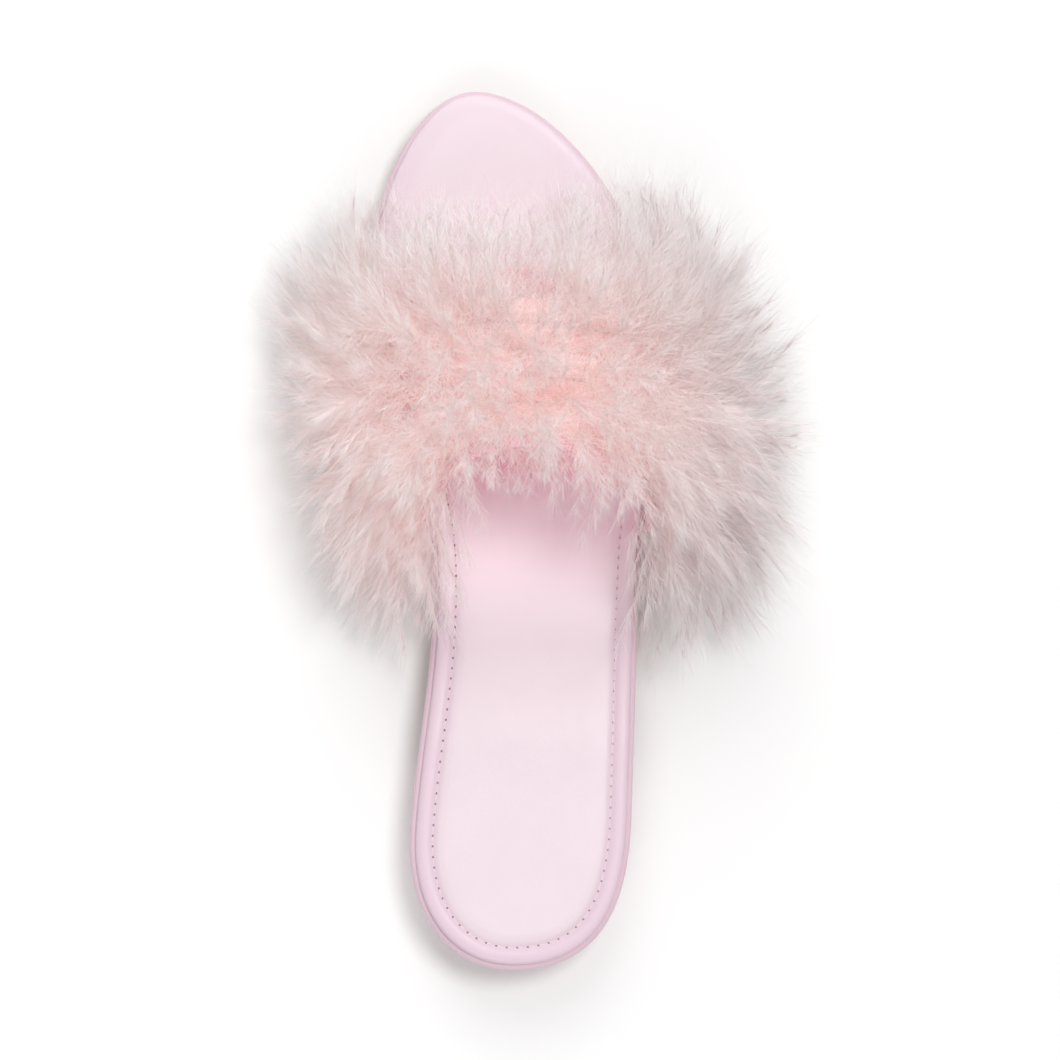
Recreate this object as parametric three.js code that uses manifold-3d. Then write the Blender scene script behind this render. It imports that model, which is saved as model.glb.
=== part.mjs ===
// A marabou slipper for the right foot: a backless, open-toed slide on a low heel.
// A leather strap is lasted under the footbed and carries a deep trim of marabou down.
// Millimetres, +Z up, +Y towards the toe, +X towards the little toe.
// Lengths along the shoe are counted from the back of the heel. The finished group is then
// moved so that its origin lies on the floor under the middle of the heel.
import * as THREE from "three";
import Module from "manifold-3d";

const wasm = await Module();
wasm.setup();

// Driving sizes of the sole.
const LENGTH = 262;
const BALL_WIDTH = 88.3;
const WAIST_WIDTH = 61.3;
const HEEL_WIDTH = 65.3;
const HEEL_RISE = 11;
const HEEL_LENGTH = 62;
const TOE_SPRING = 6;
const OUTSOLE_THICKNESS = 3;
const MIDSOLE_THICKNESS = 5.5;
const INSOLE_THICKNESS = 1.8;
const GAP = 0.3; // between two pieces that are glued face to face
const MIDSOLE_EDGE = 1.6; // how far the cover's top edge is rounded over
const OUTSOLE_INSET = 0.6;
const OUTSOLE_EDGE = 0.8;
const INSOLE_INSET = 1.7;
const INSOLE_EDGE = 0.9;
const HEEL_INSET = 1.5;
const HEEL_TAPER = 1.1;
const HEEL_EDGE = 0.6; // broken all round where the heel meets the floor
const BREAST_HOLLOW = 4;

// Driving sizes of the strap, with the foot's form above the insole.
const INSTEP_HEIGHT = 60;
const LAST_FULLNESS = 2.25; // exponent of the rounded section: 2 is an ellipse, more is squarer
const STRAP_WALL = 2;
const STRAP_HEM = 0.08; // share of the way round at each end that is the straight side of the strap
const LASTING_MARGIN = 11; // turned under the midsole on each side
const STRAP_SIDE_REAR = 130;
const STRAP_SIDE_FRONT = 196;
const STRAP_CROWN_REAR = 150;
const STRAP_CROWN_FRONT = 204;

// Driving sizes of the marabou: how far its down stands out from the middle line of the strap.
const DOWN_REACH = 68; // along the shoe, at the sides
const DOWN_LIFT = 41; // straight out of the strap, at the crown
const DOWN_DROOP = 9; // how far the crown's down sinks at its droop reach past the strap's edge
const DROOP_REACH = 20;
const HEEL_FLARE = 0.35; // how much farther out the down stands towards the heel, as a share
const DOWN_INWARD = 0.35; // how deep the down lies on the strap's side of its quills, as a share
const DOWN_FLOOR_CLEARANCE = 2;
const TOE_ROOM = 0.1; // how fast the down's underside lifts off the last ahead of the strap
const DOWN_BODY_SHARE = 0.7; // the dense body's share of the down's whole reach
const DOWN_BODY_REAR = 0.82; // and of its reach to the heel, where it hangs over the strap's edge
const LOCK_RADIUS = 9;
const LOCK_TIP_RADIUS = 0.8;
const LOCK_ROOT_SHARE = 0.2; // where a lock starts, as a share of the down's reach
const LOCK_BEND = 0.12; // how high a lock's curve rises, as a share of its length
const LOCK_SWEEP = 0.035; // how far a lock's tip strays along the strap, as a share of its way round

// How finely the forms are faceted.
const SOLE_STATIONS = 32;
const SOLE_COLUMNS = 4;
const HEEL_STATIONS = 12;
const ARCH_STEPS = 24;
const STRAP_COLUMNS = 8;
const TUNNEL_STEPS = 7; // before the strap and again behind it
const TUNNEL_START = 0.2; // share of the length
const TUNNEL_END = 0.985;
const DOWN_SECTIONS = 18;
const DOWN_SECTION_SIDES = 16;
const LOCK_ROWS = 14;
const LOCKS_PER_ROW = 7;
const LOCK_RINGS = 3;
const LOCK_SIDES = 5;

// The sole's outline, counter-clockwise from above. across is a share of the width named beside it,
// along a share of the length, turn the direction of travel in degrees from +X, and in and out the
// lengths of the curve's handles as shares of the length.
const OUTLINE = [
  { place: "heel back", width: HEEL_WIDTH, across: -0.03, along: 0, turn: 0, in: 0.069, out: 0.097 },
  { place: "outer heel", width: HEEL_WIDTH, across: 0.508, along: 0.172, turn: 88.1, in: 0.105, out: 0.108 },
  { place: "outer waist", width: WAIST_WIDTH, across: 0.588, along: 0.44, turn: 87.3, in: 0.109, out: 0.11 },
  { place: "outer ball", width: BALL_WIDTH, across: 0.484, along: 0.696, turn: 90, in: 0.128, out: 0.161 },
  { place: "toe tip", width: BALL_WIDTH, across: -0.148, along: 1, turn: 180, in: 0.092, out: 0.065 },
  { place: "inner ball", width: BALL_WIDTH, across: -0.516, along: 0.761, turn: 270, in: 0.124, out: 0.127 },
  { place: "inner waist", width: WAIST_WIDTH, across: -0.412, along: 0.44, turn: 270, in: 0.157, out: 0.105 },
  { place: "inner heel", width: HEEL_WIDTH, across: -0.492, along: 0.161, turn: 265.5, in: 0.104, out: 0.102 },
];
const TOE_ROW = 4;

// The sole's side profile: how much of the heel's rise and of the toe spring lifts its underside.
const SOLE_PROFILE = [
  { place: "heel back", along: 0, rise: 1, spring: 0 },
  { place: "heel breast", along: 0.245, rise: 1, spring: 0 },
  { place: "arch", along: 0.4, rise: 0.5, spring: 0 },
  { place: "tread start", along: 0.56, rise: 0, spring: 0 },
  { place: "tread end", along: 0.78, rise: 0, spring: 0 },
  { place: "toe tip", along: 1, rise: 0, spring: 1 },
];

// The edges of the sole's layers, from the underside up. drawn is a share of the edge's rounding,
// up a share of the layer's thickness.
const EDGES = {
  outsole: [
    { drawn: 1, up: 0 },
    { drawn: 0.25, up: 0.3 },
    { drawn: 0, up: 1 },
  ],
  midsole: [
    { drawn: 0.3, up: 0 },
    { drawn: 0, up: 0.14 },
    { drawn: 0, up: 0.6 },
    { drawn: 0.3, up: 0.85 },
    { drawn: 1, up: 1 },
  ],
  insole: [
    { drawn: 0.2, up: 0 },
    { drawn: 0, up: 0.55 },
    { drawn: 1, up: 1 },
  ],
};

// The last: its height over the insole as a share of the instep's, and how far its ridge lies
// towards the big toe, as a share of half its width.
const LAST = [
  { place: "ankle", along: 0.2, height: 1.35, ridge: 0.1 },
  { place: "instep", along: 0.5, height: 1, ridge: 0.12 },
  { place: "waist", along: 0.6, height: 0.85, ridge: 0.12 },
  { place: "ball", along: 0.7, height: 0.68, ridge: 0.1 },
  { place: "toe joints", along: 0.8, height: 0.53, ridge: 0.06 },
  { place: "toes", along: 0.9, height: 0.42, ridge: 0 },
  { place: "toe tip", along: 1, height: 0.33, ridge: 0 },
];

// The marabou round the strap, from the big-toe side over the crown to the little-toe side.
// around is the share of the way, middle the share of the length where its rows of quills lie,
// front and rear shares of the down's reach, and lift a share of its lift.
const DOWN = [
  { place: "inner hem", around: 0, middle: 0.605, front: 0.92, rear: 0.88, lift: 0.74 },
  { place: "inner side", around: 0.12, middle: 0.612, front: 1.02, rear: 0.96, lift: 0.85 },
  { place: "inner shoulder", around: 0.3, middle: 0.65, front: 0.84, rear: 0.82, lift: 0.82 },
  { place: "crown", around: 0.48, middle: 0.685, front: 0.66, rear: 0.7, lift: 0.78 },
  { place: "outer shoulder", around: 0.68, middle: 0.655, front: 0.92, rear: 0.9, lift: 0.86 },
  { place: "outer side", around: 0.88, middle: 0.612, front: 1.14, rear: 1.1, lift: 0.92 },
  { place: "outer hem", around: 1, middle: 0.6, front: 1.02, rear: 1.04, lift: 0.86 },
];

const COLOURS = {
  leather: 0xf3dae3,
  footbed: 0xf6dfe7,
  sole: 0xdcc2b4,
  down: 0xf0d3cb,
};

// A smooth curve through one column of a table, flat where its neighbours are level.
function curveOf(rows, column, at = "along") {
  const x = rows.map((row) => row[at]);
  const y = rows.map((row) => row[column]);
  const slope = x.slice(1).map((_, i) => (y[i + 1] - y[i]) / (x[i + 1] - x[i]));
  const tangent = x.map((_, i) => {
    if (i === 0) return slope[0];
    if (i === x.length - 1) return slope[i - 1];
    const product = slope[i - 1] * slope[i];
    return product > 0 ? (2 * product) / (slope[i - 1] + slope[i]) : 0;
  });
  return (value) => {
    const v = THREE.MathUtils.clamp(value, x[0], x[x.length - 1]);
    const i = Math.min(x.filter((knot) => knot <= v).length, x.length - 1) - 1;
    const span = x[i + 1] - x[i];
    const t = (v - x[i]) / span;
    const h = t * t * (3 - 2 * t);
    const before = t * (1 - t) * (1 - t) * span * tangent[i];
    const after = t * t * (1 - t) * span * tangent[i + 1];
    return y[i] + h * (y[i + 1] - y[i]) + before - after;
  };
}

// One side of the outline from the heel's back to the toe tip, as a dense line of points.
function outlineSide(rows) {
  const path = new THREE.CurvePath();
  const place = (row) => new THREE.Vector2(row.across * row.width, row.along * LENGTH);
  const step = (row, share) => {
    const turn = THREE.MathUtils.degToRad(row.turn);
    return new THREE.Vector2(Math.cos(turn), Math.sin(turn)).multiplyScalar(share * LENGTH);
  };
  rows.slice(1).forEach((to, i) => {
    const from = rows[i];
    const leave = place(from).add(step(from, from.out));
    const arrive = place(to).sub(step(to, to.in));
    path.add(new THREE.CubicBezierCurve(place(from), leave, arrive, place(to)));
  });
  const points = path.getPoints(80);
  return points[0].y > points[points.length - 1].y ? points.reverse() : points;
}
const OUTER_SIDE = outlineSide(OUTLINE.slice(0, TOE_ROW + 1));
const INNER_SIDE = outlineSide([...OUTLINE.slice(TOE_ROW), OUTLINE[0]]);

// The outline's point at a length along the shoe, and its outward normal.
function edgePoint(side, y) {
  const next = side.findIndex((point) => point.y >= y);
  const i = THREE.MathUtils.clamp(next === -1 ? side.length - 1 : next, 1, side.length - 1);
  const [a, b] = [side[i - 1], side[i]];
  const t = THREE.MathUtils.clamp((y - a.y) / Math.max(b.y - a.y, 1e-6), 0, 1);
  const along = b.clone().sub(a).normalize();
  const out = side === OUTER_SIDE ? 1 : -1;
  return { x: a.x + t * (b.x - a.x), y: a.y + t * (b.y - a.y), nx: out * along.y, ny: -out * along.x };
}

const rise = curveOf(SOLE_PROFILE, "rise");
const spring = curveOf(SOLE_PROFILE, "spring");
const outsoleBottom = (y) => HEEL_RISE * rise(y / LENGTH) + TOE_SPRING * spring(y / LENGTH);
const outsoleTop = (y) => outsoleBottom(y) + OUTSOLE_THICKNESS;
const midsoleBottom = (y) => outsoleTop(y) + GAP;
const midsoleTop = (y) => midsoleBottom(y) + MIDSOLE_THICKNESS;
const insoleBottom = (y) => midsoleTop(y) + GAP;
const insoleTop = (y) => insoleBottom(y) + INSOLE_THICKNESS;

// A closed solid from a list of corner points and triangles of their numbers.
function solidFrom(points, triangles) {
  const seen = new Map();
  const corners = [];
  const number = points.map((p) => {
    const key = p.map((c) => Math.round(c * 1e4)).join();
    if (!seen.has(key)) seen.set(key, corners.push(...p) / 3 - 1);
    return seen.get(key);
  });
  const kept = triangles
    .map((triangle) => triangle.map((i) => number[i]))
    .filter(([a, b, c]) => a !== b && b !== c && c !== a);
  return new wasm.Manifold(
    new wasm.Mesh({
      numProp: 3,
      vertProperties: new Float32Array(corners),
      triVerts: new Uint32Array(kept.flat()),
    }),
  );
}

// A closed solid from grids of points laid one over the other. The lowest and highest are its
// faces, and the borders of all of them, one above the next, make its wall.
function stackOf(levels) {
  const rows = levels[0].length;
  const columns = levels[0][0].length;
  const at = (level, row, column) => (level * rows + row) * columns + column;
  const triangles = [];
  const quad = (a, b, c, d) => triangles.push([a, b, c], [a, c, d]);
  const border = [];
  for (let column = 0; column < columns - 1; column++) border.push([0, column]);
  for (let row = 0; row < rows - 1; row++) border.push([row, columns - 1]);
  for (let column = columns - 1; column > 0; column--) border.push([rows - 1, column]);
  for (let row = rows - 1; row > 0; row--) border.push([row, 0]);
  const top = levels.length - 1;
  for (let row = 0; row < rows - 1; row++) {
    for (let column = 0; column < columns - 1; column++) {
      const corners = [[row, column], [row, column + 1], [row + 1, column + 1], [row + 1, column]];
      quad(...corners.map((corner) => at(top, ...corner)));
      quad(...corners.reverse().map((corner) => at(0, ...corner)));
    }
  }
  for (let level = 0; level < top; level++) {
    border.forEach((from, i) => {
      const to = border[(i + 1) % border.length];
      quad(at(level, ...from), at(level, ...to), at(level + 1, ...to), at(level + 1, ...from));
    });
  }
  return solidFrom(levels.flat(2), triangles);
}

// A grid across the sole between its two edges, drawn in by inset, at the height that heightAt gives.
function soleGrid(stations, inset, heightAt) {
  return stations.map((y) => {
    const [inner, outer] = [INNER_SIDE, OUTER_SIDE].map((side) => {
      const p = edgePoint(side, y);
      return { x: p.x - inset * p.nx, y: p.y - inset * p.ny };
    });
    const ends = y <= 0 || y >= LENGTH;
    return Array.from({ length: SOLE_COLUMNS + 1 }, (_, column) => {
      const t = column / SOLE_COLUMNS;
      const x = THREE.MathUtils.lerp(inner.x, outer.x, t);
      const across = ends ? (inner.y + outer.y) / 2 : THREE.MathUtils.lerp(inner.y, outer.y, t);
      return [x, across, heightAt(THREE.MathUtils.clamp(across, 0, LENGTH))];
    });
  });
}

// Stations along the whole sole, close together where its ends are round.
const WHOLE_SOLE = Array.from(
  { length: SOLE_STATIONS + 1 },
  (_, i) => (LENGTH / 2) * (1 - Math.cos((Math.PI * i) / SOLE_STATIONS)),
);

// A full-length layer of the sole, cut in from the outline by inset, with its edge rounded.
function soleLayer(bottom, top, inset, rounding, edge) {
  return stackOf(
    edge.map(({ drawn, up }) => {
      const heightAt = (y) => THREE.MathUtils.lerp(bottom(y), top(y), up);
      return soleGrid(WHOLE_SOLE, inset + drawn * rounding, heightAt);
    }),
  );
}

// Outsole: a thin sheet, cut a little smaller than the midsole, with its lower edge broken.
function outsole() {
  return soleLayer(outsoleBottom, outsoleTop, OUTSOLE_INSET, OUTSOLE_EDGE, EDGES.outsole);
}

// Midsole: the padded board in its leather cover, rounded over at the top, with a channel under
// each side for the strap's lasted ends.
function midsole() {
  const covered = soleLayer(midsoleBottom, midsoleTop, 0, MIDSOLE_EDGE, EDGES.midsole);
  return covered.subtract(lastingChannel(-1)).subtract(lastingChannel(1));
}

// The room under the midsole for one lasted end of the strap, inner side -1, outer side 1.
function lastingChannel(side) {
  const from = STRAP_SIDE_REAR - GAP;
  const to = STRAP_SIDE_FRONT + GAP;
  const deep = LASTING_MARGIN + 2 * GAP;
  const beyond = STRAP_WALL;
  const grid = (heightAt) =>
    Array.from({ length: STRAP_COLUMNS + 1 }, (_, i) => {
      const y = THREE.MathUtils.lerp(from, to, i / STRAP_COLUMNS);
      const edge = edgePoint(side < 0 ? INNER_SIDE : OUTER_SIDE, y).x;
      const reach = [edge - side * deep, edge + side * beyond].sort((a, b) => a - b);
      return reach.map((x) => [x, y, heightAt(y)]);
    });
  const floor = grid((y) => outsoleTop(y));
  const roof = grid((y) => lastedTop(y) + GAP);
  return stackOf([floor, roof]);
}

// Insole: the soft leather cover that the foot stands on, drawn in from the midsole's edge.
function insole() {
  return soleLayer(insoleBottom, insoleTop, INSOLE_INSET, INSOLE_EDGE, EDGES.insole);
}

// Heel: a low covered block under the seat, tapering to the floor, with a hollowed breast.
function heel() {
  const stations = Array.from(
    { length: HEEL_STATIONS + 1 },
    (_, i) => HEEL_LENGTH * (1 - Math.cos((Math.PI * i) / (2 * HEEL_STATIONS))),
  );
  const level = (inset, heightAt) =>
    soleGrid(stations, inset, heightAt).map((row) => {
      const middle = (row[0][0] + row[SOLE_COLUMNS][0]) / 2;
      const half = Math.max((row[SOLE_COLUMNS][0] - row[0][0]) / 2, 1e-6);
      return row.map(([x, y, z]) => {
        const bow = Math.max(0, 1 - ((x - middle) / half) ** 2) * (y / HEEL_LENGTH) ** 3;
        return [x, y - BREAST_HOLLOW * bow, z];
      });
    });
  return stackOf([
    level(HEEL_INSET + HEEL_TAPER + HEEL_EDGE, () => 0),
    level(HEEL_INSET + HEEL_TAPER, () => HEEL_EDGE),
    level(HEEL_INSET, (y) => outsoleBottom(y) - GAP),
  ]);
}

const lastHeight = curveOf(LAST, "height");
const lastRidge = curveOf(LAST, "ridge");
const lastedTop = (y) => outsoleTop(y) + GAP + STRAP_WALL;

// The last's section across the shoe at y. turn is 0 at the outer edge and PI at the inner one.
// It gives the point, which is the strap's inner face, and the outward normal in the section.
function lastPoint(y, turn) {
  const inner = edgePoint(INNER_SIDE, y).x - GAP;
  const outer = edgePoint(OUTER_SIDE, y).x + GAP;
  const height = INSTEP_HEIGHT * lastHeight(y / LENGTH);
  const ridge = (inner + outer) / 2 - (lastRidge(y / LENGTH) * (outer - inner)) / 2;
  const half = Math.cos(turn) >= 0 ? outer - ridge : ridge - inner;
  const u = Math.sign(Math.cos(turn)) * Math.abs(Math.cos(turn)) ** (2 / LAST_FULLNESS);
  const v = Math.abs(Math.sin(turn)) ** (2 / LAST_FULLNESS);
  const normal = new THREE.Vector2(
    (Math.sign(u) * Math.abs(u) ** (LAST_FULLNESS - 1)) / half,
    v ** (LAST_FULLNESS - 1) / height,
  ).normalize();
  return { x: ridge + half * u, z: insoleTop(y) + height * v, nx: normal.x, nz: normal.y };
}

// The strap's way across the shoe at y: from the inner lasted end, round the midsole's edge, over
// the last, and back under at the outer side. crown is 0 at its sides and 1 at the top.
const ARCH_TURNS = Array.from({ length: ARCH_STEPS + 1 }, (_, i) => Math.PI * (1 - i / ARCH_STEPS));
const crownAt = (turn) => Math.abs(Math.sin(turn)) ** 1.5;
function strapStops() {
  const lasted = (side) => [
    { side, drawnIn: LASTING_MARGIN, down: 90, crown: 0 },
    { side, drawnIn: LASTING_MARGIN / 2, down: 90, crown: 0 },
    { side, drawnIn: 0, down: 90, crown: 0 },
    { side, drawnIn: 0, down: 45, crown: 0 },
    { side, drawnIn: 0, down: 0, crown: 0 },
  ];
  const arch = ARCH_TURNS.map((turn) => ({ turn, crown: crownAt(turn) }));
  return [...lasted(-1), ...arch, ...lasted(1).reverse()];
}

// A point of the strap at one of those stops, offset outwards from its inner face.
function strapPoint(stop, y, offset) {
  if (stop.turn !== undefined) {
    const p = lastPoint(y, stop.turn);
    return [p.x + offset * p.nx, y, p.z + offset * p.nz];
  }
  const edge = edgePoint(stop.side < 0 ? INNER_SIDE : OUTER_SIDE, y).x + stop.side * GAP;
  const tip = THREE.MathUtils.degToRad(stop.down);
  return [
    edge - stop.side * stop.drawnIn + stop.side * offset * Math.cos(tip),
    y,
    lastedTop(y) - offset * Math.sin(tip),
  ];
}

// Where the strap starts and ends along the shoe.
function strapSpan(crown) {
  return {
    rear: THREE.MathUtils.lerp(STRAP_SIDE_REAR, STRAP_CROWN_REAR, crown),
    front: THREE.MathUtils.lerp(STRAP_SIDE_FRONT, STRAP_CROWN_FRONT, crown),
  };
}

// Strap: one wall of leather, open to the heel and to the toe, with both ends lasted under.
function strap() {
  const stops = strapStops();
  const face = (offset) =>
    Array.from({ length: STRAP_COLUMNS + 1 }, (_, column) =>
      stops.map((stop) => {
        const { rear, front } = strapSpan(stop.crown);
        return strapPoint(stop, THREE.MathUtils.lerp(rear, front, column / STRAP_COLUMNS), offset);
      }),
    );
  return stackOf([face(0), face(STRAP_WALL)]);
}

// The room that the foot, the strap and the sole take up: the last with the strap's wall on it,
// run on to heel and toe and down through the floor. The marabou stays outside it. Behind the
// strap its roof sinks like the down there, and ahead of it it leaves the toes some more room.
function keptClear() {
  const { lerp } = THREE.MathUtils;
  const stops = strapStops().filter((stop) => stop.turn !== undefined || stop.down === 0);
  const station = ({ crown }, i) => {
    const { rear, front } = strapSpan(crown);
    if (i < TUNNEL_STEPS) return lerp(TUNNEL_START * LENGTH, rear, i / TUNNEL_STEPS);
    if (i <= TUNNEL_STEPS + STRAP_COLUMNS) return lerp(rear, front, (i - TUNNEL_STEPS) / STRAP_COLUMNS);
    return lerp(front, TUNNEL_END * LENGTH, (i - TUNNEL_STEPS - STRAP_COLUMNS) / TUNNEL_STEPS);
  };
  const roof = Array.from({ length: 2 * TUNNEL_STEPS + STRAP_COLUMNS + 1 }, (_, i) =>
    stops.map((stop) => {
      const { rear, front } = strapSpan(stop.crown);
      const y = station(stop, i);
      const behind = Math.max(rear - y, 0);
      const lifted = TOE_ROOM * Math.max(y - front, 0);
      const sunk = droopAt(Math.min(behind, DROOP_REACH));
      const [x, , z] = strapPoint(stop, y + behind, STRAP_WALL + GAP);
      return [x, y, z + stop.crown * (lifted - sunk)];
    }),
  );
  const floor = roof.map((row) => row.map(([x, y]) => [x, y, -HEEL_RISE]));
  return stackOf([floor, roof]);
}

// How far down that hangs over the strap's edge has sunk, that far past it.
function droopAt(past) {
  return DOWN_DROOP * (past / DROOP_REACH) ** 2;
}

const downMiddle = curveOf(DOWN, "middle", "around");
const downFront = curveOf(DOWN, "front", "around");
const downRear = curveOf(DOWN, "rear", "around");
const downLift = curveOf(DOWN, "lift", "around");

// The last's turn at that share of the strap's way, from the inner hem (0) to the outer hem (1).
function turnAt(around) {
  return Math.PI * (1 - THREE.MathUtils.clamp((around - STRAP_HEM) / (1 - 2 * STRAP_HEM), 0, 1));
}

// The strap's outer face there at y, and its normal.
function strapFace(around, y) {
  const p = lastPoint(y, turnAt(around));
  const past = Math.max(0, STRAP_HEM - around, around - (1 - STRAP_HEM)) / STRAP_HEM;
  const z = THREE.MathUtils.lerp(p.z, lastedTop(y) + STRAP_WALL, past);
  return { x: p.x + STRAP_WALL * p.nx, z: z + STRAP_WALL * p.nz, nx: p.nx, nz: p.nz };
}

// A point of the down: fan is the direction from the quills, 0 to the toe, PI / 2 straight out and
// PI to the heel, and reach the share of the way to the tips. Past the strap's edges it droops.
function downPoint(around, fan, reach) {
  const along = Math.cos(fan) >= 0 ? downFront(around) : downRear(around);
  const y = downMiddle(around) * LENGTH + DOWN_REACH * along * Math.cos(fan) * reach;
  const { rear, front } = strapSpan(crownAt(turnAt(around)));
  const held = THREE.MathUtils.clamp(y, rear, front);
  const root = strapFace(around, held);
  const flare = 1 + HEEL_FLARE * Math.max(-Math.cos(fan), 0);
  const out = DOWN_LIFT * downLift(around) * Math.sin(fan) * reach * flare;
  const inward = out < 0 ? DOWN_INWARD : 1;
  const droop = droopAt(y - held) * Math.max(root.nz, 0);
  return [root.x + out * inward * root.nx, y, root.z + out * inward * root.nz - droop];
}

// The marabou's dense body: egg-shaped sections swept over the strap from hem to hem.
function downBody() {
  const section = (around) =>
    Array.from({ length: DOWN_SECTION_SIDES }, (_, i) => {
      const fan = (2 * Math.PI * i) / DOWN_SECTION_SIDES;
      const rearward = Math.max(-Math.cos(fan), 0);
      return downPoint(around, fan, THREE.MathUtils.lerp(DOWN_BODY_SHARE, DOWN_BODY_REAR, rearward));
    });
  return tubeFrom(Array.from({ length: DOWN_SECTIONS + 1 }, (_, i) => section(i / DOWN_SECTIONS)));
}

// A closed solid from rings of equally many points, its ends closed by fans on their middles.
function tubeFrom(rings) {
  const sides = rings[0].length;
  const points = rings.flat();
  const triangles = [];
  const middleOf = (ring) => ring[0].map((_, axis) => ring.reduce((sum, p) => sum + p[axis], 0) / sides);
  const first = points.push(middleOf(rings[0])) - 1;
  const last = points.push(middleOf(rings[rings.length - 1])) - 1;
  const end = (rings.length - 1) * sides;
  for (let i = 0; i < sides; i++) {
    const next = (i + 1) % sides;
    triangles.push([first, next, i], [last, end + i, end + next]);
    for (let start = 0; start < end; start += sides) {
      triangles.push([start + i, start + next, start + sides + next]);
      triangles.push([start + i, start + sides + next, start + sides + i]);
    }
  }
  return solidFrom(points, triangles);
}

// One lock of down: a plume from deep in the body out to the tips, bent by its own weight. sweep
// runs from -1 to 1 and turns its tip towards the inner or the outer side.
function downLock(around, fan, reach, thickness, sweep) {
  const ends = (share) => THREE.MathUtils.clamp(around + share * sweep * LOCK_SWEEP, 0, 1);
  const root = new THREE.Vector3(...downPoint(around, fan, LOCK_ROOT_SHARE));
  const bend = new THREE.Vector3(...downPoint(ends(0.4), fan, 0.8 * reach));
  const tip = new THREE.Vector3(...downPoint(ends(1), fan, reach));
  bend.z += LOCK_BEND * root.distanceTo(tip);
  const spine = new THREE.QuadraticBezierCurve3(root, bend, tip);
  const frames = spine.computeFrenetFrames(LOCK_RINGS, false);
  const rings = Array.from({ length: LOCK_RINGS + 1 }, (_, i) => {
    const t = i / LOCK_RINGS;
    const radius = LOCK_TIP_RADIUS + LOCK_RADIUS * thickness * (1 - t ** 2.2);
    const centre = spine.getPointAt(t);
    return Array.from({ length: LOCK_SIDES }, (_, side) => {
      const turn = (2 * Math.PI * side) / LOCK_SIDES;
      const across = frames.normals[i].clone().multiplyScalar(radius * Math.cos(turn));
      const over = frames.binormals[i].clone().multiplyScalar(radius * Math.sin(turn));
      return centre.clone().add(across).add(over).toArray();
    });
  });
  return tubeFrom(rings);
}

// Marabou: the body with its locks, clear of strap, sole, foot and floor.
function marabou() {
  const forms = [downBody()];
  for (let row = 0; row < LOCK_ROWS; row++) {
    for (let lock = 0; lock < LOCKS_PER_ROW; lock++) {
      const spread = (row * 0.618 + lock * 0.382) % 1; // even, and the same each time
      const around = (row + 0.25 + 0.5 * spread) / LOCK_ROWS;
      const stagger = 0.5 * (row % 2);
      const fan = (Math.PI * (lock + 0.25 + stagger)) / LOCKS_PER_ROW;
      const sweep = Math.sin(7 * row + 3 * lock);
      forms.push(downLock(around, fan, 0.9 + 0.12 * spread, 0.75 + 0.5 * spread, sweep));
    }
  }
  return wasm.Manifold.union(forms).subtract(keptClear()).subtract(underFloor());
}

// A slab from below the floor up to the marabou's clearance over it.
function underFloor() {
  const slab = (z) => [0, LENGTH].map((y) => [-LENGTH, LENGTH].map((x) => [x, y, z]));
  return stackOf([slab(-LENGTH), slab(DOWN_FLOOR_CLEARANCE)]);
}

function meshOf(name, solid, { colour, roughness }) {
  const { numProp, vertProperties, triVerts } = solid.getMesh();
  const corners = new Float32Array((vertProperties.length / numProp) * 3);
  for (let i = 0; i < corners.length / 3; i++) {
    corners.set(vertProperties.subarray(i * numProp, i * numProp + 3), i * 3);
  }
  const geometry = new THREE.BufferGeometry();
  geometry.setAttribute("position", new THREE.BufferAttribute(corners, 3));
  geometry.setIndex(new THREE.BufferAttribute(triVerts, 1));
  geometry.computeVertexNormals();
  const material = new THREE.MeshStandardMaterial({ color: colour, roughness, metalness: 0 });
  const mesh = new THREE.Mesh(geometry, material);
  mesh.name = name;
  return mesh;
}

const slipper = new THREE.Group();
slipper.add(
  meshOf("heel", heel(), { colour: COLOURS.leather, roughness: 0.5 }),
  meshOf("outsole", outsole(), { colour: COLOURS.sole, roughness: 0.7 }),
  meshOf("midsole", midsole(), { colour: COLOURS.leather, roughness: 0.5 }),
  meshOf("insole", insole(), { colour: COLOURS.footbed, roughness: 0.45 }),
  meshOf("strap", strap(), { colour: COLOURS.leather, roughness: 0.5 }),
  meshOf("marabou", marabou(), { colour: COLOURS.down, roughness: 0.95 }),
);
slipper.position.y = -HEEL_LENGTH / 2;

export default slipper;
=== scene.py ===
# A marabou slipper for the right foot: a backless, open-toed slide on a low heel, with a leather
# strap under rows of down. Metres, +Z up, +Y to the toe, +X to the little toe.
import math

import bmesh
import bpy
import numpy as np
from mathutils import Matrix, Vector


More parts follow.
